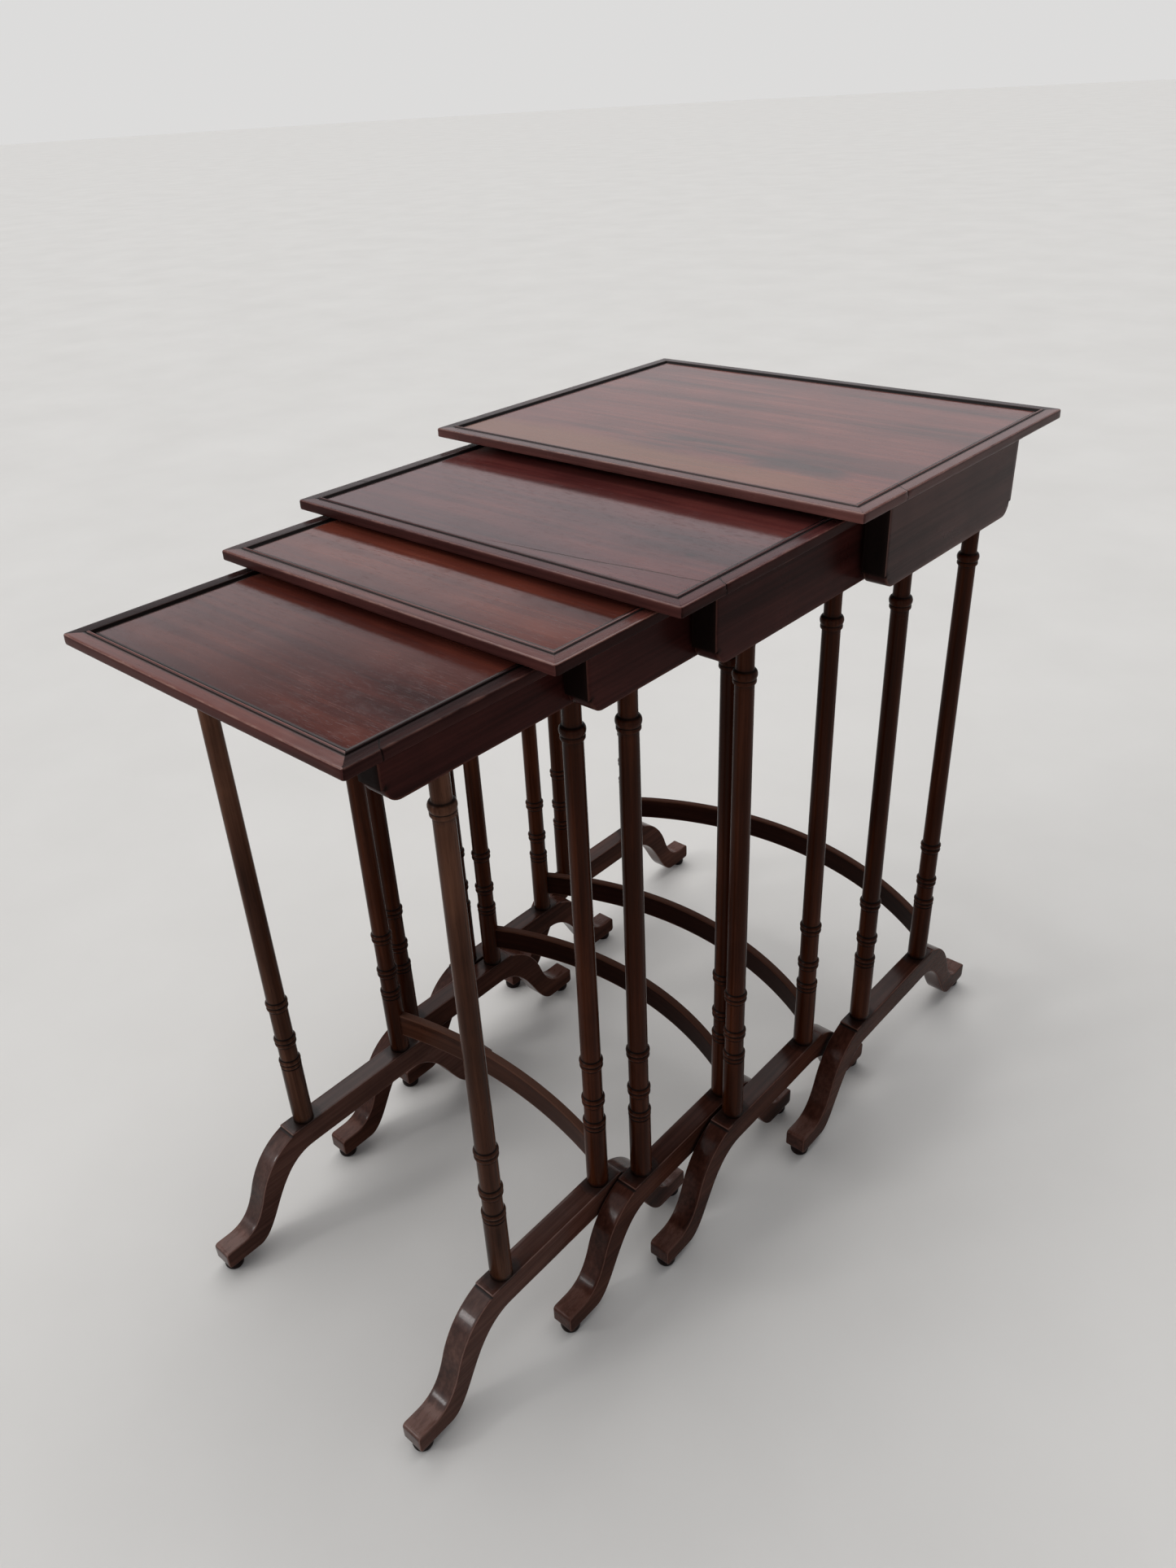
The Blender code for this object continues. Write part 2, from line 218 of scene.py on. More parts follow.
def mahogany(name, dark, middle, light, worn, roughness, figure=1.0, sheen=0.5, extra=None):
    """Polished wood. The mesh carries grain (metres, X along the fibres), wear, partly a
    painted highlight on crests and toes, and dirt: real dirt at joints, painted shade in
    hollows, grooves, corners and where parts meet. sheen is the strength of the polish,
    0.5 being that of fresh lacquer. extra, a function of the graph, the grain and the
    colour, adds what only this board shows, and gives back the new colour and the mask
    of its crack.
    """
    g = Graph(name)
    grain = g.attribute("grain", "Vector")
    wear_and_highlight, grime_and_shade = g.attribute("wear_and_highlight"), g.attribute("grime_and_shade")
    fibres = g.shift(grain, (0.731, 0.2817, 0.1903))    # off the noise's flat plane at 0

    stripes = g.noise(g.stretch(fibres, (3.0, 34.0, 34.0)), detail=4.0, distortion=0.5)
    streaks = g.noise(g.stretch(fibres, (4.5, 240.0, 240.0)), detail=4.0, distortion=0.25)
    flecks = g.noise(g.stretch(fibres, (70.0, 1500.0, 1500.0)), detail=2.0)
    clouds = g.noise(fibres, scale=14.0, detail=3.0)

    tone = g.math('MULTIPLY_ADD', stripes, 0.55 * figure, g.math('MULTIPLY', streaks, 0.45))
    tone = g.math('ADD', tone, (1.0 - figure) * 0.27)   # more figure, the same mean tone
    colour = g.ramp(tone, [(0.30, dark), (0.50, middle), (0.72, light)])
    pores = g.step(flecks, 0.60, 0.72)
    colour = g.mix(g.math('MULTIPLY', pores, 0.45), colour, dark)
    patchy = g.step(clouds, 0.40, 0.68)
    colour = g.mix(g.math('MULTIPLY', patchy, 0.28), colour, dark)
    crack = None
    if extra:
        colour, crack = extra(g, grain, colour)

    scuffs = g.noise(g.stretch(fibres, (60.0, 160.0, 160.0)), detail=4.0, roughness=0.7)
    scuffed = g.math('MULTIPLY_ADD', scuffs, 0.9, 0.55)
    # Wear lightens the colour toward the worn one; on ring crests and toe tops this is partly a
    # painted highlight.
    rubbed_and_highlit = g.step(g.math('MULTIPLY', wear_and_highlight, scuffed), 0.60, 0.95)
    colour = g.mix(g.math('MULTIPLY', rubbed_and_highlit, 0.8), colour, worn)
    # Dirt darkens the colour toward near black; in hollows, grooves, corners and where parts meet
    # this darkening is painted shade.
    dirty_and_shaded = g.step(g.math('MULTIPLY_ADD', scuffs, 0.3, grime_and_shade), 0.35, 1.0)
    colour = g.mix(g.math('MULTIPLY', dirty_and_shaded, 0.9), colour, (0.004, 0.0025, 0.002))
    g.put(g.shader.inputs["Base Color"], colour)

    smears = g.noise(fibres, scale=55.0, detail=3.0, roughness=0.6)
    gloss = g.math('MULTIPLY_ADD', clouds, 0.08, roughness - 0.04)
    gloss = g.math('MULTIPLY_ADD', g.step(smears, 0.5, 0.8), 0.06, gloss)
    gloss = g.math('MULTIPLY_ADD', rubbed_and_highlit, 0.10, gloss)
    if crack:
        gloss = g.math('MULTIPLY_ADD', crack, 0.5, gloss)
    gloss = g.math('MULTIPLY_ADD', dirty_and_shaded, 0.25, gloss, clamp=True)
    g.put(g.shader.inputs["Roughness"], gloss)
    g.shader.inputs["IOR"].default_value = 1.5
    g.shader.inputs["Specular IOR Level"].default_value = sheen

    unevenness = g.noise(fibres, scale=90.0, detail=2.0)
    relief = g.math('MULTIPLY_ADD', pores, -0.5, g.math('MULTIPLY', streaks, 0.5))
    relief = g.math('MULTIPLY_ADD', unevenness, 0.35, relief)
    if crack:
        relief = g.math('MULTIPLY_ADD', crack, -2.0, relief)
    bump = g.node("Bump", {"Height": relief, "Distance": 0.00010, "Strength": 0.32})
    g.put(g.shader.inputs["Normal"], bump.outputs[0])
    return g.material


def sapwood_band(g, grain, colour):
    """The pale band and smoky figure that run along the front of the largest top."""
    along, across = g.split(grain)[:2]
    drift = g.noise(g.stretch(grain, (4.0, 18.0, 0.0)), detail=4.0, distortion=0.5)
    across = g.math('MULTIPLY_ADD', g.math('SUBTRACT', drift, 0.5), 0.045, across)
    band = g.math('MULTIPLY', g.step(across, -0.178, -0.160), g.step(across, -0.112, -0.136))
    band = g.math('MULTIPLY', band, g.step(along, 0.26, 0.12))
    colour = g.mix(g.math('MULTIPLY', band, 0.62), colour, (0.235, 0.088, 0.035))
    patches = g.noise(g.stretch(grain, (6.0, 42.0, 0.0)), detail=4.0, distortion=0.7)
    smoke = g.math('MULTIPLY', g.step(across, -0.130, -0.112), g.step(across, -0.064, -0.088))
    reach = g.math('MULTIPLY', g.step(along, -0.20, 0.03), g.step(along, 0.195, 0.165))
    smoke = g.math('MULTIPLY', g.math('MULTIPLY', smoke, reach), g.step(patches, 0.40, 0.62))
    return g.mix(g.math('MULTIPLY', smoke, 0.74), colour, (0.024, 0.014, 0.012)), None


def fine_crack(g, grain, colour):
    """A hairline crack that wanders along the fibres, and one small knot."""
    along, across = g.split(grain)[:2]
    wander = g.noise(g.stretch(grain, (16.0, 0.0, 0.0)), detail=3.0)
    from_front = g.math('ADD', across, 0.154)
    line = g.math('MULTIPLY_ADD', g.math('SUBTRACT', wander, 0.5), 0.006, from_front)
    line = g.math('SUBTRACT', line, g.math('MULTIPLY', along, 0.135))
    crack = g.math('MULTIPLY', g.step(g.math('ABSOLUTE', line), 0.0010, 0.0003),
                   g.step(along, -0.02, 0.06))
    colour = g.mix(g.math('MULTIPLY', crack, 0.7), colour, (0.006, 0.003, 0.003))
    reach = g.node("VectorMath", {0: g.stretch(grain, (0.6, 1.0, 0.0)), 1: (0.094, -0.090, 0.0)},
                   operation='DISTANCE').outputs["Value"]
    knot = g.step(reach, 0.0045, 0.0010)
    return g.mix(g.math('MULTIPLY', knot, 0.6), colour, (0.010, 0.004, 0.003)), crack


# Each finish: its name, the dark, middle and light of its figure, its rubbed edges and
# its roughness. A key is a kind of piece, with the table before it and the end after it
# where those differ, and last _side, _dark or _right for some faces of the piece; the
# _dark and _right finishes are darker copies, painted shade.
WORN = (0.170, 0.070, 0.048)
materials = {
    "table_1_top": mahogany(
        "top_1", (0.062, 0.016, 0.012), (0.148, 0.034, 0.025), (0.230, 0.060, 0.041),
        WORN, 0.13, figure=1.6, extra=sapwood_band),
    "table_2_top": mahogany(
        "top_2", (0.040, 0.010, 0.010), (0.094, 0.022, 0.020), (0.150, 0.038, 0.031),
        WORN, 0.105, figure=1.6, extra=fine_crack),
    "table_3_top": mahogany(
        "top_3", (0.054, 0.013, 0.009), (0.116, 0.026, 0.016), (0.178, 0.044, 0.025),
        WORN, 0.11, figure=1.6),
    "table_4_top": mahogany(
        "top_4", (0.036, 0.009, 0.007), (0.080, 0.018, 0.012), (0.128, 0.032, 0.020),
        WORN, 0.14, figure=1.6),
    "top_side": mahogany(
        "underside", (0.030, 0.013, 0.008), (0.066, 0.029, 0.018), (0.100, 0.047, 0.030),
        WORN, 0.60, figure=1.3, sheen=0.12),
    "edging": mahogany(
        "border", (0.045, 0.014, 0.011), (0.112, 0.031, 0.024), (0.175, 0.056, 0.042),
        (0.220, 0.100, 0.074), 0.20),
    "table_2_edging": mahogany(
        "border_2", (0.032, 0.010, 0.010), (0.080, 0.022, 0.021), (0.120, 0.037, 0.033),
        (0.180, 0.080, 0.066), 0.20, sheen=0.28),
    "table_4_edging": mahogany(
        "border_4", (0.060, 0.020, 0.016), (0.150, 0.048, 0.037), (0.215, 0.078, 0.060),
        (0.240, 0.115, 0.085), 0.20, sheen=0.55),
    "edging_side": mahogany(
        "edge_face", (0.020, 0.0068, 0.0060), (0.060, 0.0200, 0.0178), (0.102, 0.0345, 0.0300),
        (0.135, 0.058, 0.045), 0.30, sheen=0.03),
    # A darker copy of the edge-face finish for the right-hand strips: painted shade.
    "edging_right": mahogany(
        "edge_face_shaded_right", (0.007, 0.0026, 0.0023), (0.022, 0.0076, 0.0068),
        (0.040, 0.0138, 0.0120), (0.080, 0.034, 0.027), 0.30, sheen=0.02),
    "table_1_edging_side": mahogany(
        "edge_face_1", (0.040, 0.0145, 0.0128), (0.112, 0.0430, 0.0375), (0.190, 0.073, 0.062),
        (0.225, 0.106, 0.086), 0.26, sheen=0.08),
    # A darker copy for the largest table's right-hand edge faces: painted shade.
    "table_1_edging_right": mahogany(
        "edge_face_shaded_right_1", (0.018, 0.0072, 0.0066), (0.052, 0.0215, 0.0195),
        (0.092, 0.038, 0.034), (0.130, 0.064, 0.054), 0.28, sheen=0.06),
    # Darker copies of the border for the rear and left strips and the smallest table's right strip:
    # painted shade.
    "edging_dark": mahogany(
        "border_shaded", (0.010, 0.0040, 0.0038), (0.034, 0.0122, 0.0110), (0.066, 0.0240, 0.0210),
        (0.120, 0.055, 0.044), 0.24, sheen=0.15),
    "table_4_edging_dark": mahogany(
        "border_shaded_4", (0.007, 0.0026, 0.0024), (0.022, 0.0078, 0.0070), (0.044, 0.0155, 0.0135),
        (0.100, 0.045, 0.036), 0.22, sheen=0.06),
    "table_1_apron": mahogany(
        "apron_1", (0.014, 0.0050, 0.0044), (0.042, 0.0165, 0.0145), (0.066, 0.0270, 0.0230),
        (0.080, 0.036, 0.028), 0.28, sheen=0.055),
    "apron": mahogany(
        "apron", (0.010, 0.0028, 0.0024), (0.028, 0.0070, 0.0060), (0.050, 0.0135, 0.0112),
        (0.058, 0.021, 0.016), 0.28, figure=1.1, sheen=0.025),
    # The legs' worn colour is greyed: on the ring crests it is a painted highlight as well as wear.
    "leg": mahogany(
        "leg", (0.009, 0.0024, 0.0009), (0.030, 0.0073, 0.0027), (0.074, 0.0215, 0.0095),
        (0.100, 0.052, 0.038), 0.22, sheen=0.05),
    # A lighter copy of the leg finish for the smallest table's front legs.
    "table_4_leg_front": mahogany(
        "leg_front_lighter_4", (0.010, 0.0030, 0.0015), (0.050, 0.0185, 0.0098), (0.120, 0.052, 0.030),
        (0.135, 0.076, 0.056), 0.22, figure=1.4, sheen=0.06),
    "trestle": mahogany(
        "trestle", (0.016, 0.0052, 0.0034), (0.050, 0.0170, 0.0112), (0.098, 0.037, 0.025),
        (0.110, 0.050, 0.037), 0.19, sheen=0.11),
    "trestle_side": mahogany(
        "trestle_face", (0.015, 0.0054, 0.0036), (0.046, 0.0162, 0.0102), (0.088, 0.034, 0.022),
        (0.100, 0.046, 0.034), 0.22, sheen=0.02),
    # Lighter copies for the smallest table's trestles.
    "table_4_trestle": mahogany(
        "trestle_rubbed", (0.018, 0.0066, 0.0048), (0.056, 0.0230, 0.0165), (0.120, 0.056, 0.042),
        (0.165, 0.086, 0.068), 0.19, sheen=0.24),
    "table_4_trestle_side": mahogany(
        "trestle_face_rubbed", (0.020, 0.0074, 0.0052), (0.062, 0.0250, 0.0175),
        (0.120, 0.056, 0.042), (0.165, 0.086, 0.068), 0.22, sheen=0.05),
    "stretcher": mahogany(
        "stretcher", (0.005, 0.0014, 0.0009), (0.013, 0.0036, 0.0021), (0.026, 0.0078, 0.0048),
        (0.060, 0.024, 0.015), 0.32, figure=0.7, sheen=0.025),
    # A lighter copy for the smallest table's stretcher.
    "table_4_stretcher": mahogany(
        "stretcher_rubbed", (0.014, 0.0045, 0.0025), (0.042, 0.0140, 0.0075), (0.075, 0.027, 0.015),
        (0.095, 0.042, 0.027), 0.28, sheen=0.05),
    "pad": mahogany(
        "pad", (0.004, 0.0018, 0.0014), (0.008, 0.0032, 0.0025), (0.014, 0.0055, 0.0042),
        (0.040, 0.018, 0.012), 0.42, figure=0.5, sheen=0.08),
}


# ----- Mesh tools ------------------------------------------------------------------
def slice_at(bm, axis, value):
    """Cut every face that crosses a plane square to the axis."""
    normal, point = [0.0, 0.0, 0.0], [0.0, 0.0, 0.0]
    normal[axis], point[axis] = 1.0, value
    geometry = bm.verts[:] + bm.edges[:] + bm.faces[:]
    bmesh.ops.bisect_plane(bm, geom=geometry, dist=1e-6, plane_co=point, plane_no=normal)


def slice_grid(bm, steps):
    """Cut a mesh by planes across each axis, so that every face is about a step wide."""
    for axis, step in enumerate(steps):
        if not step:
            continue
        values = [vert.co[axis] for vert in bm.verts]
        low, high = min(values), max(values)
        count = max(1, round((high - low) / step))
        for k in range(1, count):
            slice_at(bm, axis, low + (high - low) * k / count)


def round_arrises(bm, width, segments=2, angle=50):
    """Round off every outer edge sharper than the angle."""
    bm.normal_update()
    sharp = [edge for edge in bm.edges
             if edge.is_convex and edge.calc_face_angle(0.0) > math.radians(angle)]
    bmesh.ops.bevel(bm, geom=sharp, offset=width, segments=segments, affect='EDGES', profile=0.5,
                    clamp_overlap=True)


def set_values(mesh, name, values):
    """Store a float or a vector for each vertex."""
    values = np.asarray(values, np.float32)
    kind = 'FLOAT_VECTOR' if values.ndim == 2 else 'FLOAT'
    attribute = mesh.attributes.get(name) or mesh.attributes.new(name, kind, 'POINT')
    attribute.data.foreach_set("vector" if values.ndim == 2 else "value", values.ravel())


def get_values(mesh, name):
    values = np.empty(len(mesh.vertices))
    mesh.attributes[name].data.foreach_get("value", values)
    return values


def coordinates(mesh):
    co = np.empty(len(mesh.vertices) * 3, np.float32)
    mesh.vertices.foreach_get("co", co)
    return co.reshape(-1, 3).astype(float)


def mark_wear_and_shade(mesh, reach=0.0016, hollow_reach=0.003):
    """Wear near outer edges, and painted shade near inner corners, from the mesh's own angles."""
    bm = copy_to_bmesh(mesh)
    bm.normal_update()
    outer, inner = [], []
    for edge in bm.edges:
        angle = edge.calc_face_angle(0.0)
        if angle > math.radians(18):
            (outer if edge.is_convex else inner).extend(vert.co for vert in edge.verts)
    points = [vert.co.copy() for vert in bm.verts]
    for name, found, falloff in (("wear_and_highlight", outer, reach), ("grime_and_shade", inner, hollow_reach)):
        values = np.zeros(len(points))
        if found:
            tree = KDTree(len(found))
            for k, co in enumerate(found):
                tree.insert(co, k)
            tree.balance()
            values = np.exp(-np.array([tree.find(co)[2] for co in points]) / falloff)
        set_values(mesh, name, values)
    bm.free()


def ripple(mesh, amount, wavelength, seed):
    """Move the vertices inwards a little, as hand work and age leave a surface."""
    normals = np.array([normal.vector[:] for normal in mesh.vertex_normals])
    points = coordinates(mesh)
    shift = Vector((seed * 3.1, seed * 1.7, seed * 0.9))
    waves = np.array([noise.noise(Vector(point) / wavelength + shift) for point in points])
    points -= normals * (amount * (0.5 + 0.5 * waves))[:, None]
    mesh.vertices.foreach_set("co", points.astype(np.float32).ravel())
    mesh.update()


def to_mesh(bm, name):
    bmesh.ops.recalc_face_normals(bm, faces=bm.faces)
    mesh = bpy.data.meshes.new(name)
    bm.to_mesh(mesh)
    bm.free()
    return mesh


def subtract(mesh, cutters):
    """Cut meshes, each given with its place, out of a mesh."""
    body = bpy.data.objects.new("body", mesh)
    bpy.context.scene.collection.objects.link(body)
    tools = []
    for cutter, place in cutters:
        tool = bpy.data.objects.new("cutter", cutter)
        bpy.context.scene.collection.objects.link(tool)
        tool.location = place
        tools.append(tool)
        modifier = body.modifiers.new("cut", 'BOOLEAN')
        modifier.operation = 'DIFFERENCE'
        modifier.solver = 'EXACT'
        modifier.object = tool
    graph = bpy.context.evaluated_depsgraph_get()
    result = bpy.data.meshes.new_from_object(body.evaluated_get(graph))
    for item in tools + [body]:
        bpy.data.objects.remove(item)
    return result


def copy_to_bmesh(mesh):
    bm = bmesh.new()
    bm.from_mesh(mesh)
    return bm


def make_box(low, high):
    bm = bmesh.new()
    bmesh.ops.create_cube(bm, size=1.0)
    for vert in bm.verts:
        for axis in range(3):
            vert.co[axis] = high[axis] if vert.co[axis] > 0 else low[axis]
    return to_mesh(bm, "box")


def turn_profile(profile, segments, name):
    """A turned mesh from points that start with radius and z, first and last on the axis."""
    bm = bmesh.new()
    verts = [bm.verts.new((point[0], 0, point[1])) for point in profile]
    edges = [bm.edges.new(pair) for pair in zip(verts, verts[1:])]
    bmesh.ops.spin(bm, geom=verts + edges, cent=(0, 0, 0), axis=(0, 0, 1), angle=math.tau,
                   steps=segments)
    bmesh.ops.remove_doubles(bm, verts=bm.verts, dist=1e-6)
    return to_mesh(bm, name)


def arc(centre, radius, start, turn, steps):
    angles = [math.radians(start + turn * k / steps) for k in range(steps + 1)]
    return [(centre[0] + radius * math.cos(a), centre[1] + radius * math.sin(a)) for a in angles]


def bezier(p0, p1, p2, p3, steps):
    """Points of a cubic Bezier curve, without its first point."""
    points = []
    for k in range(1, steps + 1):
        t = k / steps
        weights = ((1 - t) ** 3, 3 * t * (1 - t) ** 2, 3 * t * t * (1 - t), t ** 3)
        pulls = list(zip(weights, (p0, p1, p2, p3)))
        points.append(tuple(sum(weight * p[axis] for weight, p in pulls) for axis in range(2)))
    return points


def extrude_outline(outline, width):
    """A bmesh slab of a (y, z) outline, centred on x = 0."""
    bm = bmesh.new()
    face = bm.faces.new([bm.verts.new((-width / 2, y, z)) for y, z in outline])
    moved = bmesh.ops.extrude_face_region(bm, geom=[face])["geom"]
    verts = [item for item in moved if isinstance(item, bmesh.types.BMVert)]
    bmesh.ops.translate(bm, verts=verts, vec=(width, 0, 0))
    bmesh.ops.recalc_face_normals(bm, faces=bm.faces)
    return bm


def join_rows(bm, rows):
    """Faces between the rows of a swept section, each with the number of its point, and
    the two faces that close the ends.
    """
    sides = []
    for a, b in zip(rows, rows[1:]):
        for k in range(len(a)):
            following = (k + 1) % len(a)
            sides.append((k, bm.faces.new((a[k], a[following], b[following], b[k]))))
    return sides, [bm.faces.new(rows[0]), bm.faces.new(rows[-1])]


def finish_of(node, kind, part):
    """The most particular finish made for a piece, by its end, its table or its kind."""
    end, table = node.rsplit("_", 1)[0], node[:len("table_1")]
    for key in (end + part, f"{table}_{kind}{part}", kind + part):
        if key in materials:
            return materials[key]
    return None


def add_piece(node, mesh, kind, place, grain, smooth_angle=35):
    """Put a mesh where its CAD node is. grain turns local coordinates so that X runs
    along the fibres: a 3x3 matrix, or the coordinates themselves.
    """
    body = node[:len("table_1")]
    if isinstance(grain, Matrix):
        turned = coordinates(mesh) @ np.array(grain.transposed())
    else:
        turned = np.asarray(grain)
    shift = np.array([dice.uniform(1.0, 9.0) for _ in range(3)])
    if kind == "top":
        shift = np.zeros(3)
    set_values(mesh, "grain", turned + shift)
    for name in ("wear_and_highlight", "grime_and_shade"):
        if name not in mesh.attributes:
            set_values(mesh, name, np.zeros(len(mesh.vertices)))
    # _dark and _right pick darker copies of a finish, painted shade.
    for part in ("", "_side", "_dark", "_right"):
        finish = finish_of(node, kind, part)
        if finish:
            mesh.materials.append(finish)
    mesh.shade_smooth()
    mesh.set_sharp_from_angle(angle=math.radians(smooth_angle))
    piece = bpy.data.objects.new(node + "_look", mesh)
    bpy.context.scene.collection.objects.link(piece)
    piece.location = place
    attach(piece, body)
    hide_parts(node)


ALONG_X = Matrix.Identity(3)
ALONG_Y = Matrix(((0, 1, 0), (1, 0, 0), (0, 0, 1)))
ALONG_Z = Matrix(((0, 0, 1), (0, 1, 0), (1, 0, 0)))


def middle(node):
    low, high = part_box(node)
    return (low + high) / 2


# ----- Tops -----------------------------------------------------------------------
def build_panel(table, seed):
    """The field: a thin board, very slightly uneven, with painted shade along its rim, beside the
    bead.
    """
    node = f"{table}_top"
    low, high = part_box(node)
    centre = (low + high) / 2
    size = (high - low) / 2
    bm = bmesh.new()
    bmesh.ops.create_cube(bm, size=2.0)
    for vert in bm.verts:
        vert.co = Vector([vert.co[axis] * size[axis] for axis in range(3)])
    bm.normal_update()
    round_arrises(bm, FIELD_ARRIS)
    slice_grid(bm, FIELD_GRID)
    for axis in (0, 1):
        for inset in RIM_CUTS:
            slice_at(bm, axis, size[axis] - inset)
            slice_at(bm, axis, inset - size[axis])
    mesh = to_mesh(bm, node)
    inset = (np.array(size)[None, :2] - abs(coordinates(mesh)[:, :2])).min(1)
    # Painted shade along the rim, darkest at the edge of the field.
    set_values(mesh, "grime_and_shade", np.clip(1.15 - inset / FIELD_RIM, 0.0, 1.0))
    for face in mesh.polygons:
        face.material_index = int(face.normal.z < -0.5)
    ripple(mesh, amount=0.00035, wavelength=0.085, seed=seed)
    add_piece(node, mesh, "top", centre, ALONG_X)


def edging_section(thickness):
    """(inset, z, wear, painted shade) round the section of the moulded edge, from its foot out. The
    painted shade lies in the quirks, on the bead's sides, on the border next to the bead and under
    the inner edge, less on the bead's crest as a painted highlight.
    """
    bottom = -thickness
    section = [(0.0012, bottom, 0.2, 0.0), (0.0004, bottom + 0.0002, 0.7, 0.0),
               (0.0, bottom + 0.0010, 0.5, 0.0), (0.0, bottom + 0.0026, 0.15, 0.0),
               (0.0, -0.0042, 0.1, 0.0), (0.0, -0.0026, 0.2, 0.0), (0.00005, -0.0015, 0.5, 0.0),
               (0.0004, -0.0006, 0.8, 0.0), (0.0010, -0.0001, 0.8, 0.0), (0.0020, 0.0, 0.6, 0.0),
               (0.0045, 0.0, 0.45, 0.0), (0.0080, 0.0, 0.15, 0.1), (0.0105, 0.0, 0.0, 0.4),
               (BORDER_WIDTH - 0.0003, 0.0, 0.0, 0.8)]
    section += [(BORDER_WIDTH, -0.0003, 0.0, 1.0), (BORDER_WIDTH + 0.0003, -QUIRK_DEPTH, 0.0, 1.0)]
    centre = BORDER_WIDTH + 0.0006 + BEAD_WIDTH / 2
    # The bead: painted shade on its sides, less on its crest, where light catches it.
    for degrees in range(180, -1, -20):
        angle = math.radians(degrees)
        top = max(0.0, math.sin(angle))
        section.append((centre + BEAD_WIDTH / 2 * math.cos(angle), BEAD_HEIGHT * top,
                        0.5 * top ** 4, 1.0 - 0.85 * top))
    section += [(EDGING_WIDTH - 0.0009, -QUIRK_DEPTH - 0.0006, 0.0, 1.0),
                (EDGING_WIDTH, -QUIRK_DEPTH - 0.0006, 0.0, 1.0), (EDGING_WIDTH, bottom, 0.0, 0.6)]
    return section


HAIRLINE = 0.00005           # half the gap of a glued joint in a strip
REAR, LEFT, FRONT, RIGHT = range(4)
ALONG_SIDE = (Vector((-1, 0)), Vector((0, -1)), Vector((1, 0)), Vector((0, 1)))
INWARD = (Vector((0, -1)), Vector((1, 0)), Vector((0, 1)), Vector((-1, 0)))
BORDER, FACE, SHADED_BORDER, SHADED_RIGHT_FACE = range(4)     # finishes of an edging; the dark border and the right-hand face finishes are darker copies, painted shade
# Where a strip was pieced out, in metres from its start.
JOINTS = {("table_1", RIGHT): (0.0675,), ("table_2", RIGHT): (0.051,), ("table_4", RIGHT): (0.028,),
          ("table_1", LEFT): (0.318,), ("table_2", LEFT): (0.145, 0.290)}
# The rear and left borders, and the smallest table's right border, take the darker copy: painted
# shade.
SHADED_STRIPS = {(table, side) for table in TABLES for side in (REAR, LEFT)} | {("table_4", RIGHT)}


def corner_point(corner, inset, fraction, half_width, half_depth):
    """Point on a rounded corner, fraction 0 at its start and 1 at its end."""
    sx, sy = ((1, 1), (-1, 1), (-1, -1), (1, -1))[corner]
    radius = max(PLAN_RADIUS - inset, 0.0002)
    angle = math.radians(90 * corner + 90 * fraction)
    x = sx * (half_width - inset - radius) + radius * math.cos(angle)
    y = sy * (half_depth - inset - radius) + radius * math.sin(angle)
    return Vector((x, y))


def strip_runs(side, section, half_width, half_depth, joints):
    """One mitred strip, as runs between its joints. A run is a list of rows, and a row
    has a point for each point of the section.
    """
    following = (side + 1) % 4
    length = 2 * (half_depth if side % 2 else half_width)

    def rounded(corner, fraction, shift=0.0):
        move = ALONG_SIDE[side] * shift
        return [corner_point(corner, item[0], fraction, half_width, half_depth) + move
                for item in section]

    def straight(place):
        ends = [(corner_point(side, item[0], 1.0, half_width, half_depth),
                 corner_point(following, item[0], 0.0, half_width, half_depth)) for item in section]
        return [start.lerp(end, place / length) for start, end in ends]

    runs = []
    cuts = [0.0, *joints, length]
    for first, last in zip(cuts, cuts[1:]):
        first += HAIRLINE if first else 0.0
        last -= HAIRLINE if last < length else 0.0
        count = max(2, round((last - first) / STRIP_STEP))
        places = [first + (last - first) * k / count for k in range(count + 1)]
        if first:
            places.insert(1, first + JOINT_STEP)
        if last < length:
            places.insert(-1, last - JOINT_STEP)
        runs.append([straight(place) for place in places])
    runs[0] = [rounded(side, 0.5, HAIRLINE), rounded(side, 0.75)] + runs[0]
    runs[-1] += [rounded(following, 0.25), rounded(following, 0.5, -HAIRLINE)]
    return runs


def knocks(place, z, side, seed):
    """A small knock, -1 to 1, and a dent, from 0, at a place along a strip."""
    knock = noise.noise(Vector((place * 90, seed * 5 + side, z * 300)))
    dent = noise.noise(Vector((place * 34, seed * 9 + side * 3, 4.0)))
    return knock, max(0.0, dent - 0.25)


def pushed_in(inset, z, knock, dent, at_joint):
    """How far a point of a strip's section lies inside its plain moulding."""
    if inset >= KNOCK_REACH:
        return 0.0
    push = KNOCK_DEPTH * (knock + 1)
    push += DENT_DEPTH * dent * (1 if z > -0.004 else 0.3)
    return push + (JOINT_NICK if at_joint and z > -0.003 else 0.0)


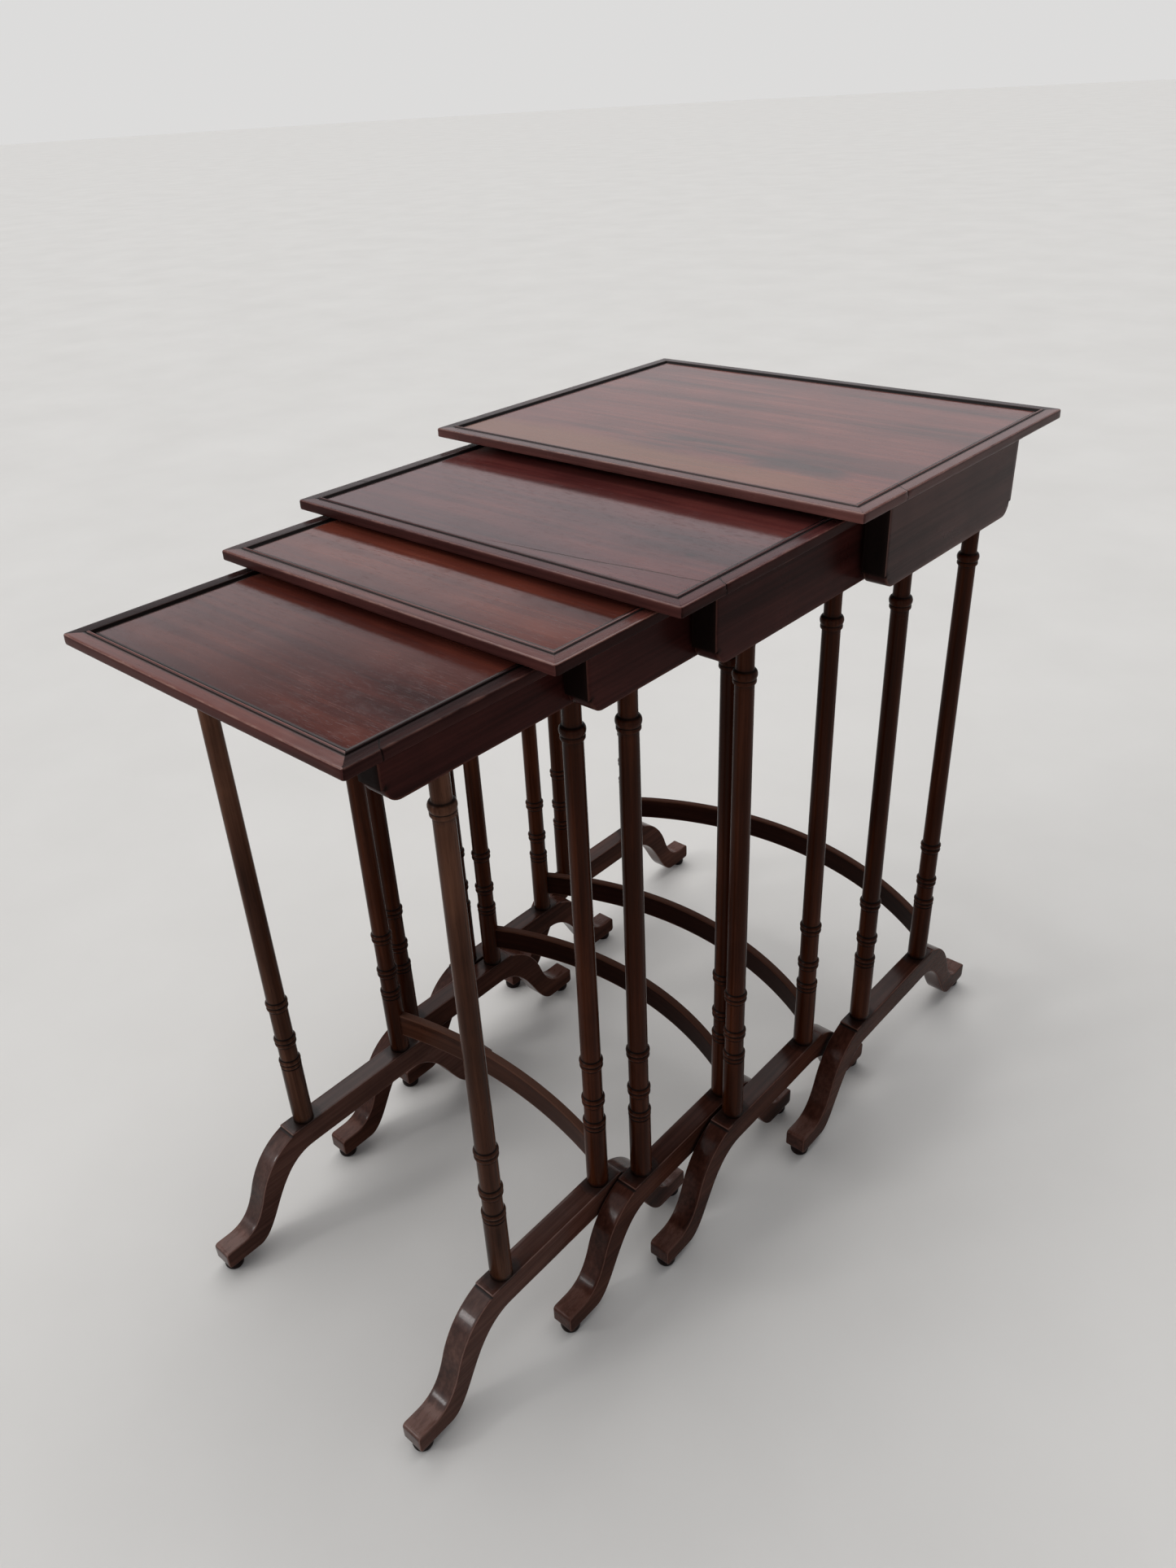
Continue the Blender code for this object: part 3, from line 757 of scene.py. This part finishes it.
def build_edging(table, seed):
    """Four moulded strips mitred at the corners, their outer arrises knocked and worn."""
    node = f"{table}_edging"
    low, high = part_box(node)
    centre = (low + high) / 2
    half_width, half_depth = (high.x - low.x) / 2, (high.y - low.y) / 2
    surface = high.z - BEAD_HEIGHT
    section = edging_section(surface - low.z)
    bm = bmesh.new()
    wear_and_highlight, grime_and_shade, grain = [], [], []
    for side in range(4):
        along = side % 2
        shift = Vector([dice.uniform(0.5, 5.0) for _ in range(3)])
        joints = JOINTS.get((table, side), ())
        level_finish = SHADED_BORDER if (table, side) in SHADED_STRIPS else BORDER
        # The outer faces of the right-hand strips take a darker copy: painted shade.
        face_finish = SHADED_RIGHT_FACE if side == RIGHT else FACE
        for run in strip_runs(side, section, half_width, half_depth, joints):
            rows = []
            for number, row in enumerate(run):
                at_joint = joints and number in (0, len(run) - 1)
                made = []
                for (inset, z, rub, section_shade), point in zip(section, row):
                    knock, dent = knocks(point[along], z, side, seed)
                    push = pushed_in(inset, z, knock, dent, at_joint)
                    moved = point + INWARD[side] * push
                    made.append(bm.verts.new((moved.x, moved.y, z)))
                    wear_and_highlight.append(min(1.0, rub * (1.0 + 1.2 * dent) + 0.15 * knock * rub))
                    grime_and_shade.append(max(section_shade, 0.8 if at_joint else 0.0))
                    local = (moved.y, moved.x, z) if along else (moved.x, moved.y, z)
                    grain.append(Vector(local) + shift)
                rows.append(made)
            sides, ends = join_rows(bm, rows)
            for k, face in sides:
                level = k > 2 and 0.0003 < section[k][0] < EDGING_WIDTH
                face.material_index = level_finish if level else face_finish
            for face in ends:
                face.material_index = face_finish
    mesh = to_mesh(bm, node)
    set_values(mesh, "wear_and_highlight", wear_and_highlight)
    set_values(mesh, "grime_and_shade", grime_and_shade)
    place = Vector((centre.x, centre.y, surface))
    add_piece(node, mesh, "edging", place, np.array(grain), smooth_angle=50)


# ----- Aprons ---------------------------------------------------------------------
def mortise():
    """A cutter for the round hole that a leg's tenon fills."""
    reach, radius = TENON_LENGTH + GAP, TENON_RADIUS + GAP
    return turn_profile([(0, reach), (radius, reach), (radius, -reach), (0, -reach)], 20, "mortise")


def build_apron(table, side_name, side, child, seed):
    """Side rail: ovolo ends, and the groove that the next table's top rides in."""
    node = f"{table}_apron_{side_name}"
    low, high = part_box(node)
    centre = (low + high) / 2
    half_length, height, thickness = (high.y - low.y) / 2, high.z - low.z, high.x - low.x
    round_start = half_length - OVOLO_STEP
    half = [(half_length, height), (half_length, OVOLO_HEIGHT)]
    half += arc((round_start - OVOLO_HEIGHT, OVOLO_HEIGHT), OVOLO_HEIGHT, 0, -90, 9)
    outline = half + [(-y, z) for y, z in reversed(half)]
    bm = extrude_outline(outline, thickness)
    mesh = to_mesh(bm, node)
    if child:
        child_low, child_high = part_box(f"{child}_edging")
        child_edge = side * child_high.x + side * RABBET_CLEARANCE - centre.x
        floor = child_low.z - RABBET_CLEARANCE - low.z
        near, far = sorted((child_edge, -side * (thickness / 2 + CUTTER_SPARE)))
        groove = make_box((near, -half_length - CUTTER_SPARE, floor),
                          (far, half_length + CUTTER_SPARE, height + CUTTER_SPARE))
        mesh = subtract(mesh, [(groove, (0, 0, 0))])
    bm = copy_to_bmesh(mesh)
    round_arrises(bm, ARRIS)
    mesh = to_mesh(bm, node)
    leg_y = middle(f"{table}_leg_rear_{side_name}").y - centre.y
    mesh = subtract(mesh, [(mortise(), (0, end * leg_y, 0)) for _, end in ENDS])
    bm = copy_to_bmesh(mesh)
    slice_grid(bm, APRON_GRID)
    mesh = to_mesh(bm, node)
    mark_wear_and_shade(mesh, reach=0.0012)
    # The end faces are made nearly black: painted shade under the overhang of the top.
    at_end = abs(coordinates(mesh)[:, 1]) > half_length - 0.0004
    set_values(mesh, "grime_and_shade", np.where(at_end, 0.85, get_values(mesh, "grime_and_shade")))
    ripple(mesh, amount=0.0002, wavelength=0.06, seed=seed)
    add_piece(node, mesh, "apron", Vector((centre.x, centre.y, low.z)), ALONG_Y)


# ----- Legs and pads -------------------------------------------------------------
def ring_profile(lip):
    """(radius, z, wear, painted shade) of a turned ring: two beads between cut grooves. The grooves
    are dark with painted shade, and the wear on the beads' crests is partly a painted highlight.
    """
    return [(SHAFT_FOOT, lip - 0.0105, 0.0, 0.0), (SHAFT_FOOT, lip - 0.0088, 0.0, 0.4),
            (0.00880, lip - 0.0080, 0.0, 1.0), (0.00930, lip - 0.0074, 0.0, 0.8),
            (0.01010, lip - 0.0067, 0.3, 0.0), (0.01050, lip - 0.0057, 0.62, 0.0),
            (0.01055, lip - 0.0048, 0.62, 0.0), (0.01020, lip - 0.0039, 0.3, 0.0),
            (0.00945, lip - 0.0032, 0.0, 0.9), (0.00925, lip - 0.0026, 0.0, 1.0),
            (0.00960, lip - 0.0020, 0.0, 0.8), (0.01045, lip - 0.0012, 0.4, 0.0),
            (0.01077, lip - 0.0004, 0.68, 0.0), (0.01080, lip + 0.0004, 0.68, 0.0),
            (0.01065, lip + 0.0012, 0.6, 0.0), (0.01015, lip + 0.0020, 0.2, 0.0),
            (0.00925, lip + 0.0027, 0.0, 0.9), (0.00890, lip + 0.0033, 0.0, 1.0),
            (SHAFT_FOOT, lip + 0.0042, 0.0, 0.5), (0.00908, lip + 0.0060, 0.1, 0.0)]


def leg_profile(foot, head):
    """(radius, z, wear, painted shade) from the lower tenon to the upper one. The painted shade
    lies at the foot, where the leg meets the rail, in the collar's grooves and at the neck under
    the apron.
    """
    profile = [(0, foot - TENON_LENGTH, 0, 0), (TENON_RADIUS - 0.0005, foot - TENON_LENGTH, 0, 0),
               (TENON_RADIUS, foot - TENON_LENGTH + 0.0008, 0, 0), (TENON_RADIUS, foot, 0, 1),
               (LEG_RADIUS - 0.0004, foot, 0, 1.0), (LEG_RADIUS - 0.0001, foot + 0.0006, 0.1, 0.9),
               (LEG_RADIUS - 0.0001, foot + 0.0060, 0.15, 0.3)]
    for k in range(1, 8):
        profile.append((LEG_RADIUS - 0.0001, foot + 0.006 + 0.0085 * k, 0.2, 0.0))
    first = RING_LIPS[0]
    profile += [(0.01025, first - 0.0084, 0.2, 0.2), (0.00965, first - 0.0078, 0, 0.9),
                (0.00950, first - 0.0072, 0.0, 1.0), (0.00990, first - 0.0066, 0.1, 0.5)]
    profile += [item for item in ring_profile(first) if item[1] > first - 0.0060]
    for lip in RING_LIPS[1:]:
        start = profile[-1][1]
        ring = ring_profile(lip)
        for k in (1, 2):
            profile.append((SHAFT_FOOT, start + (ring[0][1] - start) * k / 3, 0.15, 0.0))
        profile += ring
    start, rows = profile[-1][1], 34
    for k in range(1, rows):
        t = k / rows
        radius = SHAFT_FOOT + (SHAFT_HEAD - SHAFT_FOOT) * t
        profile.append((radius, start + (COLLAR - start) * t, 0.25, 0.0))
    profile += [(SHAFT_HEAD, COLLAR - 0.0006, 0.1, 0.5), (0.00825, COLLAR, 0.0, 0.9),
                (0.00925, COLLAR + 0.0003, 0.3, 0.2), (0.00975, COLLAR + 0.0012, 0.5, 0.0),
                (0.00975, COLLAR + 0.0032, 0.6, 0.0), (0.00925, COLLAR + 0.0041, 0.0, 0.9),
                (0.00960, COLLAR + 0.0048, 0.2, 0.5), (0.01015, COLLAR + 0.0060, 0.4, 0.0),
                (0.01045, COLLAR + 0.0076, 0.5, 0.0), (0.01045, COLLAR + 0.0088, 0.5, 0.0),
                (0.01005, COLLAR + 0.0104, 0.5, 0.0), (0.00920, COLLAR + 0.0117, 0.0, 0.6),
                (0.00800, COLLAR + 0.0123, 0.0, 0.8), (NECK_RADIUS, COLLAR + 0.0130, 0.0, 0.5)]
    neck_top = head - 0.0060
    for t in (0.33, 0.67, 1.0):
        bottom = COLLAR + 0.0130
        profile.append((NECK_RADIUS, bottom + (neck_top - bottom) * t, 0.1, 0.0))
    for angle in (20, 45, 70, 90):
        swell = 1 - math.cos(math.radians(angle))
        rise = math.sin(math.radians(angle))
        profile.append((NECK_RADIUS + 0.0014 * swell, neck_top + 0.0060 * rise, 0.0, 0.4 * swell))
    profile += [(TENON_RADIUS, head, 0, 1), (TENON_RADIUS, head + TENON_LENGTH - 0.0008, 0, 0),
                (TENON_RADIUS - 0.0005, head + TENON_LENGTH, 0, 0), (0, head + TENON_LENGTH, 0, 0)]
    return profile


def turn_piece(profile, segments, name):
    """A turned mesh whose vertices keep their profile point's wear, partly painted highlight, and
    painted shade.
    """
    mesh = turn_profile(profile, segments, name)
    radii, heights, wear_and_highlight, grime_and_shade = np.array(profile, float).T
    co = coordinates(mesh)
    radius = np.hypot(co[:, 0], co[:, 1])
    gap = (co[:, 2][:, None] - heights[None]) ** 2 + (radius[:, None] - radii[None]) ** 2
    nearest = gap.argmin(1)
    set_values(mesh, "wear_and_highlight", wear_and_highlight[nearest])
    set_values(mesh, "grime_and_shade", grime_and_shade[nearest])
    return mesh


def each_corner(kind):
    """The node and the place on the floor of every leg or pad."""
    for table in TABLES:
        for end_name, _ in ENDS:
            for side_name, _ in SIDES:
                node = f"{table}_{kind}_{end_name}_{side_name}"
                centre = middle(node)
                yield node, (centre.x, centre.y, 0)


def build_legs():
    low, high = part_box("table_1_leg_front_left")
    foot, head = low.z + TENON_LENGTH, high.z - TENON_LENGTH
    pattern = turn_piece(leg_profile(foot, head), LEG_SEGMENTS, "leg")
    for node, place in each_corner("leg"):
        turn = Matrix.Rotation(dice.uniform(0, math.tau), 3, 'Z')
        add_piece(node, pattern.copy(), "leg", place, ALONG_Z @ turn)


def build_pads():
    low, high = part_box("table_1_pad_front_left")
    radius, height = (high.x - low.x) / 2, high.z
    # Painted shade round the bottom edge, on the floor, and on the top, where the foot meets the
    # pad.
    profile = [(0, 0, 0, 0), (0.74 * radius, 0, 0.2, 0.2), (0.82 * radius, 0.0004, 0.6, 0)]
    for degrees in range(-60, 61, 15):
        angle = math.radians(degrees)
        rise = math.sin(angle) / math.sin(math.radians(60))
        profile.append((radius * (0.80 + 0.20 * math.cos(angle)), height * (0.5 + 0.44 * rise),
                        0.5, 0))
    profile += [(0.84 * radius, height - 0.0002, 0.1, 0.9), (0.80 * radius, height, 0, 1),
                (0, height, 0, 1)]
    pattern = turn_piece(profile, PAD_SEGMENTS, "pad")
    for node, place in each_corner("pad"):
        add_piece(node, pattern.copy(), "pad", place, ALONG_Z)


# ----- Trestles and stretchers -----------------------------------------------------
def foot_outline(rail_top, toe_end):
    """Half of a trestle's outline, (distance beyond the leg axis, z), top to bottom."""
    step_floor = rail_top - STEP_DROP
    waist_top, waist_bottom = (0.0675, 0.0685), (0.0557, 0.0400)
    nose_y = toe_end - NOSE_RADIUS
    outline = [(STEP_OUT, rail_top), (STEP_OUT, step_floor)]
    outline += bezier((STEP_OUT, step_floor), (0.044, 0.1075), (0.0585, 0.0905), waist_top, 18)
    outline += bezier(waist_top, (0.0750, 0.0465), (0.0840, TOE_TOP), (0.104, TOE_TOP), 18)
    outline += arc((nose_y, TOE_TOP - NOSE_RADIUS), NOSE_RADIUS, 90, -90, 8)
    outline += arc((nose_y, TOE_BOTTOM + NOSE_RADIUS), NOSE_RADIUS, 0, -90, 8)
    outline.append((0.084, TOE_BOTTOM))
    outline += bezier((0.084, TOE_BOTTOM), (0.072, 0.0100), (0.0626, 0.0278), waist_bottom, 14)
    outline += bezier(waist_bottom, (0.0425, 0.0635), (0.028, 0.0885), (0.0, RAIL_BOTTOM), 18)
    return outline


def mark_feet(pattern, leg_y, rail_top):
    """Painted shade on the rail round each leg, and the toes made lighter on top: partly wear,
    partly painted light on their upper faces.
    """
    points = coordinates(pattern)
    height, from_middle = points[:, 2], abs(points[:, 1])
    from_leg = np.hypot(points[:, 0], from_middle - leg_y)
    # Painted shade on the rail's top round the foot of each leg.
    leg_shade = np.clip(1.9 - from_leg / LEG_SHADE_REACH, 0.0, MOST_LEG_SHADE) * (height > rail_top - 0.004)
    past_knee = np.clip((from_middle - leg_y - TOE_START) / TOE_FADE, 0.0, 1.0)
    on_top = np.clip((height - LIGHTENED_TOE_HEIGHT) / 0.004, 0.0, 1.0)
    set_values(pattern, "grime_and_shade", np.maximum(get_values(pattern, "grime_and_shade"), leg_shade))
    rubbed_and_highlit = np.maximum(get_values(pattern, "wear_and_highlight"), TOE_WEAR_AND_LIGHT * past_knee * on_top)
    set_values(pattern, "wear_and_highlight", rubbed_and_highlit)


def build_trestles():
    low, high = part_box("table_1_trestle_left")
    leg_y = middle("table_1_leg_rear_left").y - (low.y + high.y) / 2
    toe_end = (high.y - low.y) / 2 - leg_y
    half = [(y + leg_y, z) for y, z in foot_outline(high.z, toe_end)]
    bm = extrude_outline(half + [(-y, z) for y, z in reversed(half)], high.x - low.x)
    round_arrises(bm, TRESTLE_ARRIS, 3, angle=60)
    holes = [(mortise(), (0, end * leg_y, high.z)) for _, end in ENDS]
    bm = copy_to_bmesh(subtract(to_mesh(bm, "trestle"), holes))
    slice_grid(bm, TRESTLE_GRID)
    pattern = to_mesh(bm, "trestle")
    mark_wear_and_shade(pattern, reach=0.0014, hollow_reach=0.0012)
    mark_feet(pattern, leg_y, high.z)
    for face in pattern.polygons:
        face.material_index = int(abs(face.normal.x) > 0.9)
    for index, table in enumerate(TABLES):
        for side_name, side in SIDES:
            node = f"{table}_trestle_{side_name}"
            centre = middle(node)
            mesh = pattern.copy()
            ripple(mesh, amount=0.00025, wavelength=0.03, seed=index * 2 + side + 5)
            add_piece(node, mesh, "trestle", (centre.x, centre.y, 0), ALONG_Y)


def build_stretcher(table):
    """A bent rail between the rear legs, its long arrises eased."""
    node = f"{table}_stretcher"
    low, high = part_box(node)
    left, right = middle(f"{table}_leg_rear_left"), middle(f"{table}_leg_rear_right")
    half_span = (right.x - left.x) / 2
    bow = high.y - STRETCHER_THICKNESS / 2 - left.y
    radius = (half_span ** 2 + bow ** 2) / (2 * bow)
    clear = LEG_RADIUS - STRETCHER_LET_IN
    half_angle = math.asin(half_span / radius) - 2 * math.asin(clear / (2 * radius))
    height, half_thickness = high.z - low.z, STRETCHER_THICKNESS / 2
    section = []                 # (offset from the curve, z, wear)
    for corner, (side, top) in enumerate(((1, 1), (-1, 1), (-1, 0), (1, 0))):
        centre = (side * (half_thickness - STRETCHER_ARRIS),
                  (height - STRETCHER_ARRIS) if top else STRETCHER_ARRIS)
        section += [(a, z, 1.0) for a, z in arc(centre, STRETCHER_ARRIS, 90 * corner, 90, 3)]
        if side < 0 and top:
            section += [(-half_thickness, height - level, 0.1) for level in SIDE_LEVELS]
        if side > 0 and not top:
            section += [(half_thickness, level, 0.1) for level in SIDE_LEVELS]
    steps = 90
    bm = bmesh.new()
    rows, wear_and_highlight, grain = [], [], []
    for k in range(steps + 1):
        angle = half_angle * (2 * k / steps - 1)
        row = []
        for offset, z, rub in section:
            reach = radius + offset
            x, y = reach * math.sin(angle), reach * math.cos(angle) + bow - radius
            row.append(bm.verts.new((x, y, z)))
            wear_and_highlight.append(rub)
            grain.append((angle * radius, offset, z))
        rows.append(row)
    join_rows(bm, rows)
    mesh = to_mesh(bm, node)
    set_values(mesh, "wear_and_highlight", wear_and_highlight)
    place = Vector(((left.x + right.x) / 2, left.y, low.z))
    add_piece(node, mesh, "stretcher", place, np.array(grain), smooth_angle=50)


# ----- The four tables ---------------------------------------------------------------
for index, table in enumerate(TABLES):
    child = TABLES[index + 1] if index + 1 < len(TABLES) else None
    build_panel(table, index + 1)
    build_edging(table, index + 1)
    for side_name, side in SIDES:
        build_apron(table, side_name, side, child, index * 2 + side + 11)
    build_stretcher(table)
build_legs()
build_pads()
build_trestles()


# ----- Floor and light -----------------------------------------------------------------
def make_floor():
    bm = bmesh.new()
    bmesh.ops.create_circle(bm, cap_ends=True, segments=96, radius=FLOOR_RADIUS)
    mesh = to_mesh(bm, "floor")
    g = Graph("floor")
    place = g.node("TexCoord").outputs["Object"]
    mottle = g.noise(place, scale=3.0, detail=5.0)
    colour = g.ramp(mottle, [(0.3, (0.70, 0.68, 0.65)), (0.7, (0.74, 0.72, 0.69))])
    g.put(g.shader.inputs["Base Color"], colour)
    g.shader.inputs["Roughness"].default_value = 0.9
    mesh.materials.append(g.material)
    floor = bpy.data.objects.new("floor", mesh)
    bpy.context.scene.collection.objects.link(floor)


def make_world():
    """A plain pale backdrop. The light and the reflections come from a sky that is
    pale at the horizon, as the photographed wall is in the tops, and darker overhead.
    """
    world = bpy.data.worlds.new("studio")
    bpy.context.scene.world = world
    world.use_nodes = True
    tree = world.node_tree
    tree.nodes.clear()
    output = tree.nodes.new("ShaderNodeOutputWorld")
    background = tree.nodes.new("ShaderNodeBackground")
    direction = tree.nodes.new("ShaderNodeTexCoord")
    split = tree.nodes.new("ShaderNodeSeparateXYZ")
    ramp = tree.nodes.new("ShaderNodeValToRGB")
    path = tree.nodes.new("ShaderNodeLightPath")
    seen = tree.nodes.new("ShaderNodeMix")
    seen.data_type = 'RGBA'
    sky, backdrop = [socket for socket in seen.inputs if socket.type == 'RGBA']
    backdrop.default_value = BACKDROP
    tree.links.new(path.outputs["Is Camera Ray"], seen.inputs[0])
    tree.links.new(ramp.outputs[0], sky)
    colour = [socket for socket in seen.outputs if socket.type == 'RGBA'][0]
    tree.links.new(colour, background.inputs["Color"])
    tree.links.new(direction.outputs["Generated"], split.inputs[0])
    tree.links.new(split.outputs["Z"], ramp.inputs[0])
    tree.links.new(background.outputs[0], output.inputs["Surface"])
    set_stops(ramp, [(0.0, (0.72, 0.71, 0.70)), (0.05, (0.72, 0.72, 0.72)),
                     (0.22, (0.64, 0.64, 0.66)), (0.35, (0.82, 0.82, 0.86)),
                     (0.387, (0.74, 0.74, 0.78)), (0.417, (0.20, 0.21, 0.22)),
                     (0.442, (0.06, 0.07, 0.08)), (1.0, (0.20, 0.21, 0.23))])
    background.inputs["Strength"].default_value = 1.0


def add_sun(name, azimuth, elevation, strength, width):
    """A wide sun, angles in degrees: soft studio light that is even all over the floor."""
    light = bpy.data.lights.new(name, 'SUN')
    light.energy = strength
    light.angle = math.radians(width)
    lamp = bpy.data.objects.new(name, light)
    bpy.context.scene.collection.objects.link(lamp)
    azimuth, elevation = math.radians(azimuth), math.radians(elevation)
    level = math.cos(elevation)
    toward = Vector((level * math.cos(azimuth), level * math.sin(azimuth), math.sin(elevation)))
    lamp.rotation_euler = toward.to_track_quat('Z', 'Y').to_euler()


make_floor()
make_world()
# Name, azimuth, elevation, strength and width.
for sun in (("overhead", 130.0, 66.0, 1.75, 68.0), ("front_left", 235.0, 42.0, 0.6, 50.0),
            ("right", 20.0, 42.0, 0.08, 50.0), ("window", 239.0, 30.0, 0.32, 9.0)):
    add_sun(*sun)
bpy.context.scene.view_settings.view_transform = 'Standard'
